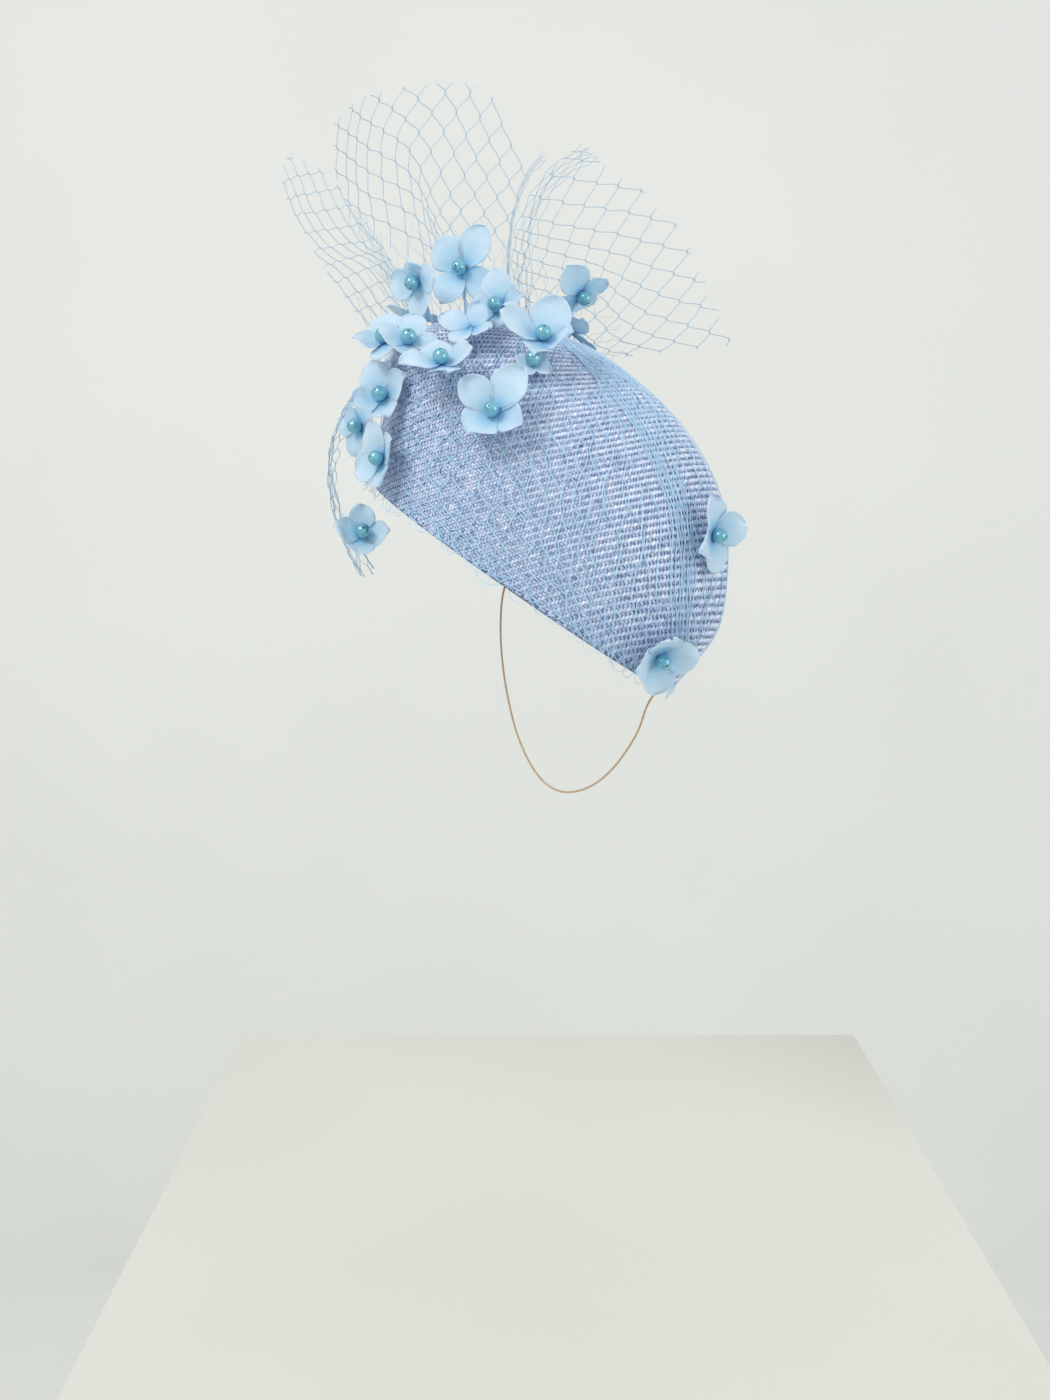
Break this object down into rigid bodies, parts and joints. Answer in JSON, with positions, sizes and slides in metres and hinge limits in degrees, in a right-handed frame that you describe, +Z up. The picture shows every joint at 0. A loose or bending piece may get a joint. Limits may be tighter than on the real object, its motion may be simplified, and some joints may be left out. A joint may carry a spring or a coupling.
{
  "type": "fascinator",
  "caption": "Tilted woven-straw percher hat with a diamond net cover, upstanding net fans, die-cut cloth blossoms with pearl centres and a thin hat elastic.",
  "frame": {"origin": "middle of the oval opening that the head goes into, on the rim's plane", "axes": "+Z up as worn, the wearer faces -Y; the hat is tilted 34.6 degrees, low at the wearer's left and back"},
  "size_m": [0.2401, 0.1984, 0.3928],
  "materials": {
    "straw": "woven, satin",
    "blossom_cloth": "stiffened, matte",
    "pearl": "pearly",
    "net": "stiff open net",
    "elastic": "matte cord"
  },
  "bodies": {
    "root": {"crown": "straw", "blossom_front": "blossom_cloth", "blossom_front_left": "blossom_cloth", "blossom_front_small": "blossom_cloth", "blossom_top": "blossom_cloth", "blossom_top_left": "blossom_cloth", "blossom_top_right": "blossom_cloth", "blossom_big_right": "blossom_cloth", "blossom_upper_right": "blossom_cloth", "blossom_right": "blossom_cloth", "blossom_under": "blossom_cloth", "blossom_upper_left": "blossom_cloth", "blossom_left_front": "blossom_cloth", "blossom_shaded": "blossom_cloth", "blossom_left_upper": "blossom_cloth", "blossom_left": "blossom_cloth", "blossom_left_lower": "blossom_cloth", "blossom_low_left": "blossom_cloth", "blossom_right_side": "blossom_cloth", "blossom_low_right": "blossom_cloth", "pearl_front": "pearl", "pearl_front_left": "pearl", "pearl_top": "pearl", "pearl_top_left": "pearl", "pearl_top_right": "pearl", "pearl_big_right": "pearl", "pearl_upper_right": "pearl", "pearl_right": "pearl", "pearl_under": "pearl", "pearl_upper_left": "pearl", "pearl_left_front": "pearl", "pearl_left_upper": "pearl", "pearl_left": "pearl", "pearl_left_lower": "pearl", "pearl_low_left": "pearl", "pearl_right_side": "pearl", "pearl_low_right": "pearl", "net_fan_left": "net", "net_fan_middle": "net", "net_fan_right": "net", "side_veil": "net", "hat_elastic": "elastic"}
  },
  "joints": []
}
